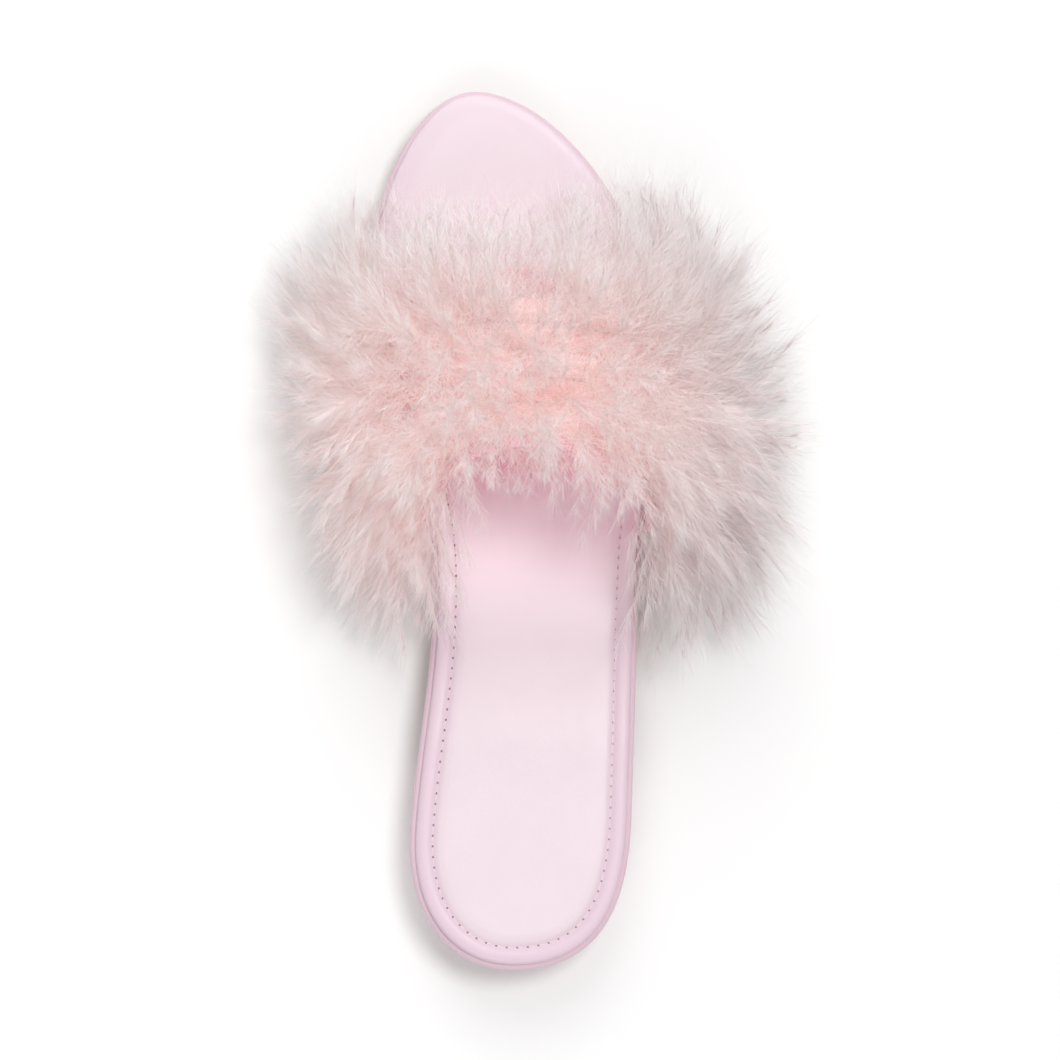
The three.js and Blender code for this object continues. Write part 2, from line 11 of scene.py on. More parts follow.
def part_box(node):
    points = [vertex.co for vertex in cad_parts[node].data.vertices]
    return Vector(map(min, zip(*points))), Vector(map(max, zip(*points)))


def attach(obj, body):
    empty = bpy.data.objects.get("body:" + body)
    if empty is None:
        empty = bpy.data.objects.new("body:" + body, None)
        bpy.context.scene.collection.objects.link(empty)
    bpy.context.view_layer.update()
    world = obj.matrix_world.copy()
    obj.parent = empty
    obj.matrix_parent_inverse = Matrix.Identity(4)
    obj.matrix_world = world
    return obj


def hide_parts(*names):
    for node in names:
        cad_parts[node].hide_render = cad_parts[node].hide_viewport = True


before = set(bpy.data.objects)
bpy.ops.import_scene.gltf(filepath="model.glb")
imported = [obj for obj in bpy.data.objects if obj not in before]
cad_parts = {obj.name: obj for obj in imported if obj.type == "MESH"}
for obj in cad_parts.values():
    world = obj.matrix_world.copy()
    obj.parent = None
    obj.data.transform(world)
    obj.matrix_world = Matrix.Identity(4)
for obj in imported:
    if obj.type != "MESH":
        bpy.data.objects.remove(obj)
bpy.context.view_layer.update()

# Studio
# A seamless white sweep under a wide soft sky. The key lamp stands high, to the toe's outer side,
# so that the shadow falls short towards the heel and the inner side. Two broad, weak lamps, one
# behind the heel and one before the toe, reach under the strap and into the down.
VIEW_TARGET = Vector((0.003, 0.0987, 0.02))
VIEW_TILT_TO_HEEL = math.radians(4.5)
VIEW_TILT_TO_INNER = math.radians(3.2)
VIEW_DISTANCE = 1.3
VIEW_HEIGHT = 0.3138  # of the ground that the picture takes in
SENSOR = 36.0  # millimetres
LAMPS = [
    dict(name="key", place=Vector((0.46, 0.47, 2.12)), size=0.8, power=22.0),
    dict(name="heel_fill", place=Vector((-0.2, -1.1, 1.2)), size=1.3, power=9.0),
    dict(name="toe_fill", place=Vector((-0.2, 1.3, 1.1)), size=1.3, power=12.0),
]
SKY_STRENGTH = 0.42
SKY_COLOUR = (1.0, 0.99, 0.985, 1)
FLOOR_COLOUR = (0.81, 0.81, 0.81, 1)
FLOOR_HALF = 3.0
DOUBLES = 2e-6
CREASE_ANGLE = math.radians(50)


class Tree:
    """Adds nodes to a node tree, from their type, their settings and their sockets' values or links."""

    def __init__(self, tree):
        self.tree = tree

    def node(self, kind, settings=None, **sockets):
        node = self.tree.nodes.new(kind)
        for key, value in (settings or {}).items():
            if key == "stops":
                stops = node.color_ramp.elements
                while len(stops) < len(value):
                    stops.new(1)
                for stop, (place, colour) in zip(stops, value):
                    stop.position, stop.color = place, colour
            else:
                setattr(node, key, value)
        for key, value in sockets.items():
            socket = self.socket(node.inputs, key)
            if isinstance(value, Value):
                self.tree.links.new(value.socket, socket)
            elif hasattr(value, "is_output"):
                self.tree.links.new(value, socket)
            elif value is not None:
                socket.default_value = value
        return node

    @staticmethod
    def socket(sockets, key):
        """The socket of that name. A_1 is the second enabled socket named A, and _ is a space."""
        name, _, number = key.rpartition("_")
        if not number.isdigit():
            name, number = key, 0
        name = name.replace("_", " ")
        found = [s for s in sockets if s.name == name and s.enabled]
        return found[int(number)]

    def value(self, kind, settings=None, output=0, **sockets):
        return Value(self, self.node(kind, settings, **sockets).outputs[output])


class Value:
    """A socket that carries a number. An expression on it adds its Math nodes."""

    def __init__(self, paint, socket):
        self.paint, self.socket = paint, socket

    def math(self, operation, *others):
        values = {f"Value_{i}": value for i, value in enumerate((self, *others))}
        return self.paint.value("ShaderNodeMath", {"operation": operation}, **values)

    def __add__(self, other):
        return self.math("ADD", other)

    def __radd__(self, other):
        return self.math("ADD", other)

    def __sub__(self, other):
        return self.math("SUBTRACT", other)

    def __rsub__(self, other):
        return (self * -1) + other

    def __mul__(self, other):
        return self.math("MULTIPLY", other)

    def __rmul__(self, other):
        return self.math("MULTIPLY", other)

    def __pow__(self, power):
        return self.math("POWER", power)


def new_finish(name):
    """A new material's tree with its Principled surface, and the material."""
    material = bpy.data.materials.new(name)
    material.use_nodes = True
    material.node_tree.nodes.clear()
    paint = Tree(material.node_tree)
    surface = paint.node("ShaderNodeBsdfPrincipled")
    paint.node("ShaderNodeOutputMaterial", Surface=surface.outputs[0])
    return paint, surface, material


def colour(red, green, blue):
    """A screen colour of 0 to 255 as the light that it stands for."""
    light = [(c / 255 / 12.92 if c <= 10 else ((c / 255 + 0.055) / 1.055) ** 2.4) for c in (red, green, blue)]
    return (*light, 1)


def mesh_object(name, points, faces, material):
    """A smooth mesh at the origin, without doubles, its creases kept sharp."""
    mesh = bpy.data.meshes.new(name)
    mesh.from_pydata(np.asarray(points, float).reshape(-1, 3).tolist(), [], [list(f) for f in faces])
    edit = bmesh.new()
    edit.from_mesh(mesh)
    bmesh.ops.remove_doubles(edit, verts=edit.verts, dist=DOUBLES)
    bmesh.ops.dissolve_degenerate(edit, edges=edit.edges, dist=DOUBLES)
    bmesh.ops.recalc_face_normals(edit, faces=edit.faces)
    edit.to_mesh(mesh)
    edit.free()
    mesh.polygons.foreach_set("use_smooth", [True] * len(mesh.polygons))
    mesh.set_sharp_from_angle(angle=CREASE_ANGLE)
    mesh.materials.append(material)
    piece = bpy.data.objects.new(name, mesh)
    bpy.context.scene.collection.objects.link(piece)
    return piece


paint, surface, floor_finish = new_finish("floor")
surface.inputs["Base Color"].default_value = FLOOR_COLOUR
surface.inputs["Roughness"].default_value = 0.9
surface.inputs["Specular IOR Level"].default_value = 0.1
floor_corners = [(x * FLOOR_HALF, y * FLOOR_HALF, 0) for x, y in ((-1, -1), (1, -1), (1, 1), (-1, 1))]
floor = mesh_object("floor", floor_corners, [(0, 1, 2, 3)], floor_finish)

scene = bpy.context.scene
scene.view_settings.view_transform = "Standard"
scene.cycles.diffuse_bounces = 7
scene.cycles.max_bounces = 8
scene.world = bpy.data.worlds.new("sky")
scene.world.use_nodes = True
sky = scene.world.node_tree.nodes["Background"]
sky.inputs["Color"].default_value = SKY_COLOUR
sky.inputs["Strength"].default_value = SKY_STRENGTH

for row in LAMPS:
    lamp_data = bpy.data.lights.new(row["name"], "AREA")
    lamp_data.shape = "DISK"
    lamp_data.size = row["size"]
    lamp_data.energy = row["power"]
    lamp = bpy.data.objects.new(row["name"], lamp_data)
    lamp.location = row["place"]
    lamp.rotation_euler = (row["place"] - VIEW_TARGET).to_track_quat("Z", "Y").to_euler()
    scene.collection.objects.link(lamp)

back = Vector((-math.tan(VIEW_TILT_TO_INNER), -math.tan(VIEW_TILT_TO_HEEL), 1)).normalized()
side = Vector((0, 1, 0)).cross(back).normalized()
up = back.cross(side)
camera_data = bpy.data.cameras.new("camera")
camera_data.sensor_width = SENSOR
camera_data.lens = SENSOR * VIEW_DISTANCE / VIEW_HEIGHT
camera = bpy.data.objects.new("camera", camera_data)
turned = Matrix((side, up, back)).transposed().to_4x4()
camera.matrix_world = Matrix.Translation(VIEW_TARGET + VIEW_DISTANCE * back) @ turned
scene.collection.objects.link(camera)
scene.camera = camera

# Outsole
# A thin leather sheet that runs from heel to toe, cut a little smaller than the footbed above it
# and glued on. It lies flat under the ball and lifts at the arch and at the toe.
BED_LOW, BED_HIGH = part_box("midsole")
HEEL_BACK = BED_LOW.y
LENGTH = BED_HIGH.y - BED_LOW.y
BALL_WIDTH = BED_HIGH.x - BED_LOW.x
WAIST_WIDTH = 0.0613
HEEL_WIDTH = 0.0653
HEEL_RISE = 0.011
TOE_SPRING = 0.006
OUTSOLE_THICKNESS = 0.003
GLUE_GAP = 0.0003
STATIONS = 120
COLUMNS = 10
SPAN_STEPS = 200
OUTSOLE_COLOUR = colour(214, 186, 170)
PORE_SIZE, OUTSOLE_PORE_SIZE, PORE_DEPTH = 0.00045, 0.0009, 0.00004
CLOUDS, CLOUD_SHADE = 45, 0.93  # clouds of the dye to the metre, and their deepest
RUBS, RUB_GLOSS = 260, 0.12  # rubbed spots to the metre, and how far their gloss differs
# across is a share of the width beside it, the other lengths are shares of the footbed's length,
# and turn is the direction of travel in degrees from +X.
OUTLINE = [
    dict(width=HEEL_WIDTH, across=-0.03, along=0, turn=0, arrive=0.069, leave=0.097),
    dict(width=HEEL_WIDTH, across=0.508, along=0.172, turn=88.1, arrive=0.105, leave=0.108),
    dict(width=WAIST_WIDTH, across=0.588, along=0.44, turn=87.3, arrive=0.109, leave=0.11),
    dict(width=BALL_WIDTH, across=0.484, along=0.696, turn=90, arrive=0.128, leave=0.161),
    dict(width=BALL_WIDTH, across=-0.148, along=1, turn=180, arrive=0.092, leave=0.065),
    dict(width=BALL_WIDTH, across=-0.516, along=0.761, turn=270, arrive=0.124, leave=0.127),
    dict(width=WAIST_WIDTH, across=-0.412, along=0.44, turn=270, arrive=0.157, leave=0.105),
    dict(width=HEEL_WIDTH, across=-0.492, along=0.161, turn=265.5, arrive=0.104, leave=0.102),
]
TOE_ROW = 4
# The share of the heel's rise and of the toe's spring in the height of the sole.
PROFILE_ALONG = [0, 0.245, 0.4, 0.56, 0.78, 1]
PROFILE_RISE = [1, 1, 0.5, 0, 0, 0]
PROFILE_SPRING = [0, 0, 0, 0, 0, 1]


def curve(places, values):
    """A smooth curve through those values, flat where its neighbours are level."""
    x, y = np.array(places, float), np.array(values, float)
    slope = np.diff(y) / np.diff(x)
    tangent = np.concatenate([slope[:1], np.zeros(len(x) - 2), slope[-1:]])
    rising = slope[:-1] * slope[1:] > 0
    both = slope[:-1] + slope[1:]
    tangent[1:-1][rising] = 2 * (slope[:-1] * slope[1:])[rising] / both[rising]

    def at(place):
        v = np.clip(place, x[0], x[-1])
        i = np.clip(np.searchsorted(x, v, side="right") - 1, 0, len(x) - 2)
        span = x[i + 1] - x[i]
        t = (v - x[i]) / span
        blend = t * t * (3 - 2 * t)
        leave = t * (1 - t) ** 2 * span * tangent[i]
        arrive = t * t * (1 - t) * span * tangent[i + 1]
        return y[i] + blend * (y[i + 1] - y[i]) + leave - arrive

    return at


def outline_side(rows, outward):
    """Points from heel to toe along one side, evenly spaced, and their outward normals."""
    line = []
    for start, end in zip(rows, rows[1:]):
        a, d = (np.array((r["across"] * r["width"], r["along"] * LENGTH)) for r in (start, end))
        turns = [math.radians(r["turn"]) for r in (start, end)]
        b = a + start["leave"] * LENGTH * np.array((math.cos(turns[0]), math.sin(turns[0])))
        c = d - end["arrive"] * LENGTH * np.array((math.cos(turns[1]), math.sin(turns[1])))
        t = np.linspace(0, 1, SPAN_STEPS)[:, None]
        line.append((1 - t) ** 3 * a + 3 * t * (1 - t) ** 2 * b + 3 * t * t * (1 - t) * c + t**3 * d)
    line = np.concatenate(line)
    if line[0, 1] > line[-1, 1]:
        line = line[::-1]
    gone = np.concatenate([[0], np.cumsum(np.hypot(*np.diff(line, axis=0).T))])
    even = np.linspace(0, gone[-1], STATIONS + 1)
    points = np.stack([np.interp(even, gone, line[:, axis]) for axis in (0, 1)], 1)
    way = np.gradient(points, axis=0)
    way[0], way[-1] = (outward, 0), (-outward, 0)
    way /= np.hypot(*way.T)[:, None]
    return points, outward * np.stack([way[:, 1], -way[:, 0]], 1)


OUTER = outline_side(OUTLINE[: TOE_ROW + 1], 1)
INNER = outline_side([*OUTLINE[TOE_ROW:], OUTLINE[0]], -1)
rise = curve(PROFILE_ALONG, PROFILE_RISE)
spring = curve(PROFILE_ALONG, PROFILE_SPRING)


def tread(y):
    """The height of the outsole's underside."""
    return HEEL_RISE * rise(y / LENGTH) + TOE_SPRING * spring(y / LENGTH)


def sole_grid(inset, height):
    """Points across the sole between its two edges, drawn in by inset, at height above the tread."""
    inner, outer = (points - inset * normals for points, normals in (INNER, OUTER))
    t = np.linspace(0, 1, COLUMNS + 1)[None, :, None]
    flat = inner[:, None] * (1 - t) + outer[:, None] * t
    z = tread(flat[..., 1]) + height
    return np.concatenate([flat + (0, HEEL_BACK), z[..., None]], 2)


def stack(levels):
    """Points and faces of a closed form from grids laid one over the other."""
    levels = np.array(levels)
    count, rows, columns = levels.shape[:3]
    number = np.arange(count * rows * columns).reshape(count, rows, columns)
    quads = [
        np.stack([grid[:-1, :-1], grid[:-1, 1:], grid[1:, 1:], grid[1:, :-1]], -1).reshape(-1, 4)
        for grid in (number[-1], number[0, ::-1])
    ]
    edge = np.concatenate(
        [number[:, 0, :-1], number[:, :-1, -1], number[:, -1, :0:-1], number[:, :0:-1, 0]], 1
    )
    following = np.roll(edge, -1, 1)
    quads.append(np.stack([edge[:-1], following[:-1], following[1:], edge[1:]], -1).reshape(-1, 4))
    return levels.reshape(-1, 3), np.concatenate(quads)


def blended(paint, factor, plain, other):
    """The colour between plain and other, at that factor."""
    mixed = paint.node("ShaderNodeMix", {"data_type": "RGBA"}, Factor=factor, A=plain, B=other)
    return mixed.outputs["Result"]


def leather(name, tint, roughness, pore_size=PORE_SIZE, coat=0.0, dyed=None):
    """Smooth dyed leather: fine pores, a faint cloudiness of the dye and an uneven satin gloss.

    dyed takes the leather's tree, its place and its plain colour, and gives the colour to use, with any
    painted light and shade.
    """
    paint, surface, material = new_finish(name)
    place = paint.node("ShaderNodeTexCoord").outputs["Object"]
    pores = paint.node("ShaderNodeTexVoronoi", Vector=place, Scale=1 / pore_size).outputs["Distance"]
    cloud = paint.value("ShaderNodeTexNoise", Vector=place, Scale=CLOUDS, Detail=3, Roughness=0.6)
    rub = paint.value("ShaderNodeTexNoise", Vector=place, Scale=RUBS, Detail=2)
    deep = tuple(c * CLOUD_SHADE for c in tint[:3]) + (1,)
    plain = blended(paint, (cloud - 0.35) * 1.2, tint, deep)
    gloss = rub * RUB_GLOSS + (roughness - RUB_GLOSS / 2)
    bump = paint.node("ShaderNodeBump", Strength=0.35, Distance=PORE_DEPTH, Height=pores)
    paint.tree.links.new(dyed(paint, place, plain) if dyed else plain, surface.inputs["Base Color"])
    paint.tree.links.new(gloss.socket, surface.inputs["Roughness"])
    paint.tree.links.new(bump.outputs[0], surface.inputs["Normal"])
    surface.inputs["Coat Weight"].default_value = coat
    surface.inputs["Coat Roughness"].default_value = 0.35
    surface.inputs["Specular IOR Level"].default_value = 0.4
    return material


def seat(piece, slot, *nodes):
    """Makes the piece ride with the shoe and stand for its solids, which it hides. slot is not used."""
    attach(piece, "root")
    if nodes:
        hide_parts(*nodes)
    return piece


# inset from the shoe's outline and height, as in the footbed's and the insole's lists
OUTSOLE_EDGE = [(0.0016, 0), (0.0009, 0.0003), (0.0006, 0.0009), (0.0006, OUTSOLE_THICKNESS)]
outsole = mesh_object(
    "outsole_sheet",
    *stack([sole_grid(inset, up) for inset, up in OUTSOLE_EDGE]),
    leather("outsole_leather", OUTSOLE_COLOUR, 0.6, OUTSOLE_PORE_SIZE),
)
seat(outsole, "outsole", "outsole")

# Heel
# A low block of stacked board under the seat, wrapped in the upper's leather, drawn in a little
# towards the floor and hollowed at its breast.
HEEL_LENGTH = 0.062
HEEL_INSET = 0.0015
HEEL_TAPER = 0.0011
HEEL_EDGE = 0.0006
BREAST_HOLLOW = 0.004
LEATHER_COLOUR = colour(218, 190, 202)


def heel_grid(inset, height):
    """Points across the heel, from its back to the hollow breast, with height from the floor up."""
    cut = int(np.searchsorted(OUTER[0][:, 1], HEEL_LENGTH)) + 1
    rows = []
    for y in np.append(OUTER[0][: cut - 1, 1], HEEL_LENGTH):
        ends = []
        for points, normals in (INNER, OUTER):
            spot = [np.interp(y, points[:, 1], points[:, 0]), y]
            facing = [np.interp(y, points[:, 1], normals[:, axis]) for axis in (0, 1)]
            ends.append(np.array(spot) - inset * np.array(facing))
        t = np.linspace(0, 1, COLUMNS + 1)[:, None]
        row = ends[0] * (1 - t) + ends[1] * t
        bow = (1 - (2 * t[:, 0] - 1) ** 2) * (y / HEEL_LENGTH) ** 3
        row[:, 1] -= BREAST_HOLLOW * bow
        z = tread(row[:, 1]) - GLUE_GAP if height is None else np.full(len(row), height)
        rows.append(np.column_stack([row[:, 0], row[:, 1] + HEEL_BACK, z]))
    return rows


heel_levels = [
    heel_grid(HEEL_INSET + HEEL_TAPER + HEEL_EDGE, 0),
    heel_grid(HEEL_INSET + HEEL_TAPER + 0.2 * HEEL_EDGE, 0.3 * HEEL_EDGE),
    heel_grid(HEEL_INSET + HEEL_TAPER, HEEL_EDGE),
    heel_grid(HEEL_INSET, None),
]
heel = mesh_object("heel_block", *stack(heel_levels), leather("heel_leather", LEATHER_COLOUR, 0.42))
seat(heel, "heel_cover", "heel")

# Footbed
# The padded board that carries the foot, wrapped all round in the pink leather. The cover turns
# over the top edge in a soft roll and is drawn under, over the strap's ends.
BED_BASE = OUTSOLE_THICKNESS + GLUE_GAP
BED_THICKNESS = 0.0055
BED_ROLL = [
    (0.0006, 0),
    (0.0001, 0.0004),
    (0.0, 0.001),
    (0.0, 0.0032),
    (0.00015, 0.0041),
    (0.0005, 0.0048),
    (0.001, 0.0053),
    (0.0016, BED_THICKNESS),
]
footbed = mesh_object(
    "footbed",
    *stack([sole_grid(inset, BED_BASE + up) for inset, up in BED_ROLL]),
    leather("footbed_leather", LEATHER_COLOUR, 0.42),
)
seat(footbed, "footbed_cover", "midsole")

# Insole
# The leather cover that the foot stands on, lightly padded, with a turned edge, that dips along
# its one row of stitches. Its colour is painted lighter behind the strap, against the shadow
# that the strap and down cast there, and painted deep pink under the strap and down, as shade.
# Along its rim it is painted darker, as shade on the rolled edge.
INSOLE_BASE = BED_BASE + BED_THICKNESS + GLUE_GAP
STITCH_INSET = 0.0066
INSOLE_COLOUR = colour(217, 201, 208)
PAINTED_LIGHT_COLOUR = colour(247, 232, 241)  # painted light behind the strap, against the shadow of the strap and down
PAINTED_SHADE_COLOUR = colour(242, 172, 192)  # painted shade, deep pink, under the strap
RIM_SHADE_COLOUR = colour(209, 186, 198)  # painted shade outside the stitches, where the edge rolls over
RIM_SHADE_WIDTH = 0.0091
RIM_SHADE_SOFTNESS = 0.003
RIM_SHADE_FADE = 0.5  # of its strength, from the heel to the toe
TOE_SHARE = 0.75  # of the plain dye, ahead of the strap, in place of the painted light
PAINTED_LIGHT_FROM, PAINTED_LIGHT_TO = 0.062, 0.098
PAINTED_SHADE_FROM, PAINTED_SHADE_TO = 0.1055, 0.1235
TOE_FROM, TOE_TO = 0.165, 0.19
STITCH_END = 0.62  # share of the length, under the down
# inset from the shoe's outline, height over the footbed's top, and dip where there are stitches
INSOLE_RINGS = [
    (0.0019, -0.0002, 0),
    (0.0016, 0.0003, 0),
    (0.0016, 0.0009, 0),
    (0.0018, 0.0014, 0),
    (0.0025, 0.00175, 0),
    (0.0034, 0.0019, 0),
    (0.0048, 0.00195, 0.0001),
    (0.0058, 0.00197, 0.00027),
    (STITCH_INSET - 0.0003, 0.00198, 0.00055),
    (STITCH_INSET, 0.00199, 0.00065),
    (STITCH_INSET + 0.0003, 0.002, 0.00055),
    (0.0074, 0.002, 0.00026),
    (0.0086, 0.00201, 0.00008),
    (0.0105, 0.00202, 0),
]
dipped = curve([0, STITCH_END, STITCH_END + 0.1, 1], [1, 1, 0, 0])


def insole_grid(inset, height, dip):
    """Points across the insole, at height above the footbed's top, dipped where it is stitched."""
    grid = sole_grid(inset, INSOLE_BASE + height)
    grid[..., 2] -= dip * dipped((grid[..., 1] - HEEL_BACK) / LENGTH)
    return grid


def stored(paint, name):
    """The value that the mesh keeps under that name."""
    return paint.value("ShaderNodeAttribute", {"attribute_name": name}, output="Fac")


def insole_dye_light_and_shade(paint, place, plain):
    """Painted lighter behind the strap, painted deep pink shade under it, plain at the toe, and painted
    darker shade along the rim.
    """
    y = paint.node("ShaderNodeSeparateXYZ", Vector=place).outputs["Y"]

    def past(start, end):
        soft = {"interpolation_type": "SMOOTHSTEP"}
        return paint.value("ShaderNodeMapRange", soft, Value=y, From_Min=start, From_Max=end)

    # painted light behind the strap and painted shade under it, both mostly gone at the toe
    painted_light, painted_shade, toe = past(PAINTED_LIGHT_FROM, PAINTED_LIGHT_TO), past(PAINTED_SHADE_FROM, PAINTED_SHADE_TO), past(TOE_FROM, TOE_TO)
    rim_shaded = blended(paint, stored(paint, "rim"), plain, RIM_SHADE_COLOUR)
    painted_light_and_shade = blended(paint, painted_shade * (1 - toe), PAINTED_LIGHT_COLOUR, PAINTED_SHADE_COLOUR)
    return blended(paint, painted_light * (1 - TOE_SHARE * toe), rim_shaded, painted_light_and_shade)


insole = mesh_object(
    "insole_cover",
    *stack([insole_grid(*ring) for ring in INSOLE_RINGS]),
    leather("insole_leather", INSOLE_COLOUR, 0.4, coat=0.05, dyed=insole_dye_light_and_shade),
)
# painted shade along the rolled rim, strongest at the heel
spots = np.array([vertex.co for vertex in insole.data.vertices])[:, :2] - (0, HEEL_BACK)
edge = np.concatenate([INNER[0], OUTER[0]])
inward = np.min(np.linalg.norm(spots[:, None] - edge, axis=2), axis=1)
rim = np.clip((RIM_SHADE_WIDTH - inward) / RIM_SHADE_SOFTNESS, 0, 1) * (1 - RIM_SHADE_FADE * spots[:, 1] / LENGTH)
insole.data.attributes.new("rim", "FLOAT", "POINT").data.foreach_set("value", np.float32(rim))
seat(insole, "insole", "insole")

# Stitches
# Pink thread through the insole's edge, about eight stitches to the inch, with its needle holes as small dark
# beads of painted shade.
# The row runs from the strap round the heel and back to the strap.
STITCH_STEP = 0.0031
STITCH_SIZE = (0.0021, 0.00045, 0.0003)
HOLE_SIZE = (0.00085, 0.00075, 0.00016)
STITCH_HEIGHT = INSOLE_BASE + 0.00135  # just over the bottom of the dip
HOLE_LIFT = 0.00003
LINE_STEP = STITCH_STEP / 4
THREAD_COLOUR = colour(222, 196, 204)
# painted shade in the needle holes
HOLE_SHADE_COLOUR = colour(142, 114, 122)


def geometry_tree(name, **inputs):
    """A Geometry Nodes tree with named inputs, and the sockets that give them."""
    group = bpy.data.node_groups.new(name, "GeometryNodeTree")
    group.interface.new_socket("Geometry", in_out="OUTPUT", socket_type="NodeSocketGeometry")
    for key, kind in {"Geometry": "Geometry", **inputs}.items():
        group.interface.new_socket(key, in_out="INPUT", socket_type=f"NodeSocket{kind}")
    tree = Tree(group)
    source = tree.node("NodeGroupInput")
    return tree, {socket.name: socket for socket in source.outputs if socket.name}


def grown(name, base, group, **values):
    """The plain mesh that the tree grows on the base mesh."""
    carrier = bpy.data.objects.new(name, base)
    bpy.context.scene.collection.objects.link(carrier)
    modifier = carrier.modifiers.new("grow", "NODES")
    modifier.node_group = group
    for item in group.interface.items_tree:
        if item.in_out == "INPUT" and item.name in values:
            modifier[item.identifier] = values[item.name]
    ready = carrier.evaluated_get(bpy.context.evaluated_depsgraph_get())
    mesh = bpy.data.meshes.new_from_object(ready)
    carrier.modifiers.clear()
    carrier.data = mesh
    mesh.name = name
    mesh.polygons.foreach_set("use_smooth", [True] * len(mesh.polygons))
    return carrier


tree, given = geometry_tree("stitch_row", Step="Float", Size="Vector", Material="Material")
line = tree.node("GeometryNodeMeshToCurve", Mesh=given["Geometry"]).outputs[0]
marks = tree.node("GeometryNodeResampleCurve", {"mode": "LENGTH"}, Curve=line, Length=given["Step"])
along = tree.node("GeometryNodeInputTangent").outputs[0]
turned = tree.node("FunctionNodeAlignRotationToVector", {"axis": "X"}, Vector=along)
bead = tree.node("GeometryNodeMeshIcoSphere", Radius=0.5, Subdivisions=2)
beads = tree.node(
    "GeometryNodeInstanceOnPoints",
    Points=marks.outputs[0],
    Instance=bead.outputs["Mesh"],
    Rotation=turned.outputs[0],
    Scale=given["Size"],
)
real = tree.node("GeometryNodeRealizeInstances", Geometry=beads.outputs[0])
dyed = tree.node("GeometryNodeSetMaterial", Geometry=real.outputs[0], Material=given["Material"])
tree.node("NodeGroupOutput", Geometry=dyed.outputs[0])
stitch_row = tree.tree


def stitch_line(height, skip):
    """A line of points round the heel at the stitches' inset, evenly spaced from skip on."""
    sides = []
    for points, normals in (INNER, OUTER):
        spots = points - STITCH_INSET * normals
        sides.append(spots[spots[:, 1] < STITCH_END * LENGTH])
    line = np.concatenate([sides[0][::-1], sides[1][1:]])
    gone = np.concatenate([[0], np.cumsum(np.hypot(*np.diff(line, axis=0).T))])
    even = np.arange(skip, gone[-1], LINE_STEP)
    x, y = (np.interp(even, gone, line[:, axis]) for axis in (0, 1))
    spots = np.column_stack([x, y + HEEL_BACK, tread(y) + height])
    mesh = bpy.data.meshes.new("stitch_line")
    mesh.from_pydata(spots.tolist(), [(i, i + 1) for i in range(len(spots) - 1)], [])
    return mesh


paint, surface, thread_finish = new_finish("thread")
surface.inputs["Base Color"].default_value = THREAD_COLOUR
surface.inputs["Roughness"].default_value = 0.6
paint, surface, hole_shade_finish = new_finish("needle_hole_shade")
surface.inputs["Base Color"].default_value = HOLE_SHADE_COLOUR
surface.inputs["Roughness"].default_value = 0.9
stitches = grown(
    "stitches", stitch_line(STITCH_HEIGHT, 0.5 * STITCH_STEP), stitch_row,
    Step=STITCH_STEP, Size=STITCH_SIZE, Material=thread_finish,
)
seat(stitches, "insole")
hole_shades = grown(
    "needle_hole_shade", stitch_line(STITCH_HEIGHT + HOLE_LIFT, 0), stitch_row,
    Step=STITCH_STEP, Size=HOLE_SIZE, Material=hole_shade_finish,
)
seat(hole_shades, "insole")

# Strap
# The upper: one wall of lined leather with folded edges, shaped over the last. Both ends turn
# under the footbed and are glued there.
INSTEP_HEIGHT = 0.06
LAST_FULLNESS = 2.25
LAST_SEAT = 0.0018  # over the insole's base, where the foot presses it down
STRAP_WALL = 0.002
LASTING_MARGIN = 0.011
SIDE_REAR, SIDE_FRONT = 0.130, 0.196
CROWN_REAR, CROWN_FRONT = 0.150, 0.204
CROWN_POWER = 1.5
ARCH_STEPS, FACE_POINTS, FOLD_POINTS = 56, 15, 7
# the strap's pink dye, painted deeper as the shade it lies in under the down
STRAP_DYE_AND_SHADE_COLOUR = colour(238, 172, 188)
LAST_ALONG = [0.2, 0.5, 0.6, 0.7, 0.8, 0.9, 1]
last_height = curve(LAST_ALONG, [1.35, 1, 0.85, 0.68, 0.53, 0.42, 0.33])
last_ridge = curve(LAST_ALONG, [0.1, 0.12, 0.12, 0.1, 0.06, 0, 0])


def edge_x(side, y):
    """How far out that side of the shoe's outline lies, at y from the heel's back."""
    return np.interp(y, side[0][:, 1], side[0][:, 0])


def last_point(y, turn):
    """The last's section: turn is 0 at the outer edge and pi at the inner. Point and normal."""
    inner, outer = edge_x(INNER, y) - GLUE_GAP, edge_x(OUTER, y) + GLUE_GAP
    height = INSTEP_HEIGHT * last_height(y / LENGTH)
    ridge = (inner + outer) / 2 - last_ridge(y / LENGTH) * (outer - inner) / 2
    half = np.where(np.cos(turn) >= 0, outer - ridge, ridge - inner)
    u = np.sign(np.cos(turn)) * np.abs(np.cos(turn)) ** (2 / LAST_FULLNESS)
    v = np.abs(np.sin(turn)) ** (2 / LAST_FULLNESS)
    nx = np.sign(u) * np.abs(u) ** (LAST_FULLNESS - 1) / half
    nz = v ** (LAST_FULLNESS - 1) / height
    size = np.hypot(nx, nz)
    base = tread(y) + INSOLE_BASE + LAST_SEAT
    return np.stack([ridge + half * u, base + height * v, nx / size, nz / size])


def strap_point(stop, y, offset):
    """A point offset from the strap's inner face, at one stop of its way across the shoe."""
    side, drawn_in, down, turn = stop
    if side == 0:
        x, z, nx, nz = last_point(y, turn)
        return np.stack([x + offset * nx, y + HEEL_BACK, z + offset * nz], -1)
    edge = edge_x(OUTER if side > 0 else INNER, y) + side * GLUE_GAP
    tip = math.radians(down)
    lasted = tread(y) + BED_BASE + STRAP_WALL
    x = edge - side * drawn_in + side * offset * math.cos(tip)
    return np.stack([x, y + HEEL_BACK, lasted - offset * math.sin(tip)], -1)


